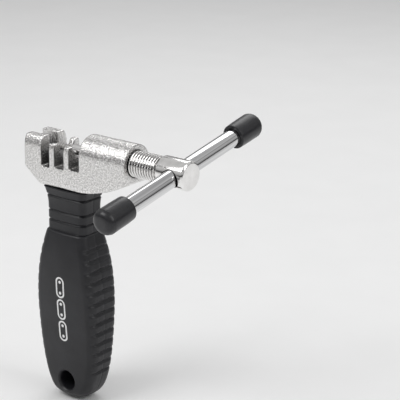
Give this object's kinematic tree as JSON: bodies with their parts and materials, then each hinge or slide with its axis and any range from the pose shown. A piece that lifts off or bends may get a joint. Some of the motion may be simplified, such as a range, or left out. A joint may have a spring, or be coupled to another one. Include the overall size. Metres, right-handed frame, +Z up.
{
  "type": "bicycle chain tool",
  "caption": "Hand tool that holds a bicycle chain in a slotted cast head while a screw with a sliding T-bar pushes the rivet out; waisted ribbed handle with a hang hole.",
  "frame": {"origin": "the middle of the chain cradle, where the seat for the chain's roller meets the drive screw's axis", "axes": "+X along the drive screw from the anvil to the T-bar, +Y from the front shell to the rear shell, +Z up, away from the handle"},
  "size_m": [0.0905, 0.1068, 0.1374],
  "materials": {
    "casting": "satin nickel plate over a fine cast grain",
    "screw_steel": "turned, bright nickel plate",
    "pin_steel": "hardened, ground",
    "bar_chrome": "polished chrome",
    "handle_plastic": "fine moulded texture, satin",
    "cap_vinyl": "dipped vinyl, glossy"
  },
  "bodies": {
    "head": {"head_casting": "casting", "handle_front_shell": "handle_plastic", "handle_rear_shell": "handle_plastic"},
    "pin": {"push_pin": "pin_steel"},
    "screw": {"drive_screw": "screw_steel", "pin_holder": "screw_steel"},
    "bar": {"t_bar": "bar_chrome", "cap_front": "cap_vinyl", "cap_rear": "cap_vinyl"}
  },
  "joints": [
    {"name": "pin_advance", "type": "slide", "parent": "head", "child": "pin", "axis": [-1, 0, 0], "range_m": [-0.02, 0.0084]},
    {"name": "screw_turn", "type": "hinge", "parent": "pin", "child": "screw", "pos_m": [0, 0, 0], "axis": [-1, 0, 0], "range_deg": [-4800, 2016]},
    {"name": "bar_slide", "type": "slide", "parent": "screw", "child": "bar", "axis": [0, 0.981, 0.1942], "range_m": [-0.0328, 0.0282]}
  ],
  "couplings": [
    {"joint": "pin_advance", "follows": "screw_turn", "m_per_rad": 0.00023873}
  ]
}
